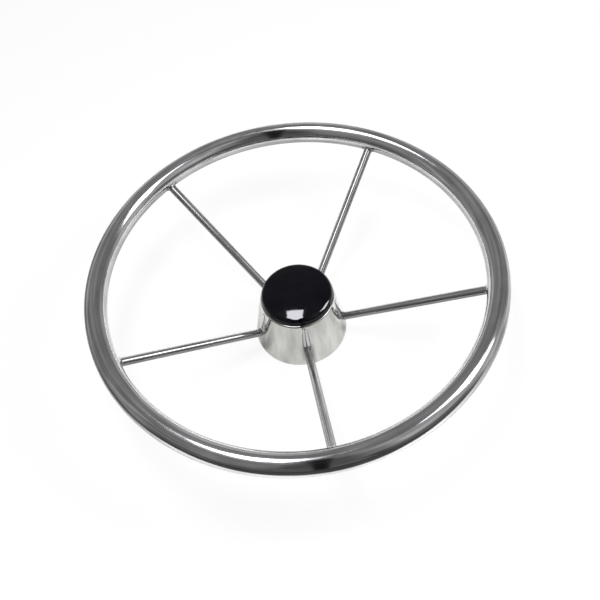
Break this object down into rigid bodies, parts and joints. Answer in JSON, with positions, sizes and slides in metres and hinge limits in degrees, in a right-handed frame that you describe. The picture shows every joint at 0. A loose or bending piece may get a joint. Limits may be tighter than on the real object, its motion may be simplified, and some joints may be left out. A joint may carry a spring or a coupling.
{
  "type": "boat steering wheel",
  "caption": "Dished marine steering wheel: a round tube rim on bent rod spokes that rise from a conical hub with a tapered shaft bore and a domed pull-off cap.",
  "frame": {"origin": "centre of the hub's foot, on the wheel's axis, in the plane that the foot rests on", "axes": "+Z along the wheel's axis towards the cap and the person at the wheel, +Y along the first spoke"},
  "size_m": [0.3939, 0.394, 0.1005],
  "materials": {
    "polished_steel": "polished",
    "brushed_steel": "satin",
    "pressed_steel": "satin",
    "machined_steel": "satin",
    "hardware_steel": "satin",
    "cap_plastic": "gloss"
  },
  "bodies": {
    "wheel": {"rim": "polished_steel", "spoke_1": "polished_steel", "spoke_2": "polished_steel", "spoke_3": "polished_steel", "spoke_4": "polished_steel", "spoke_5": "polished_steel", "hub_shell": "brushed_steel", "hub_cup": "pressed_steel", "hub_boss": "machined_steel", "washer": "hardware_steel", "shaft_nut": "hardware_steel"},
    "cap": {"centre_cap": "cap_plastic"}
  },
  "joints": [
    {"name": "cap_pull_off", "type": "slide", "parent": "wheel", "child": "cap", "axis": [0, 0, 1], "range_m": [0, 0.03]}
  ]
}
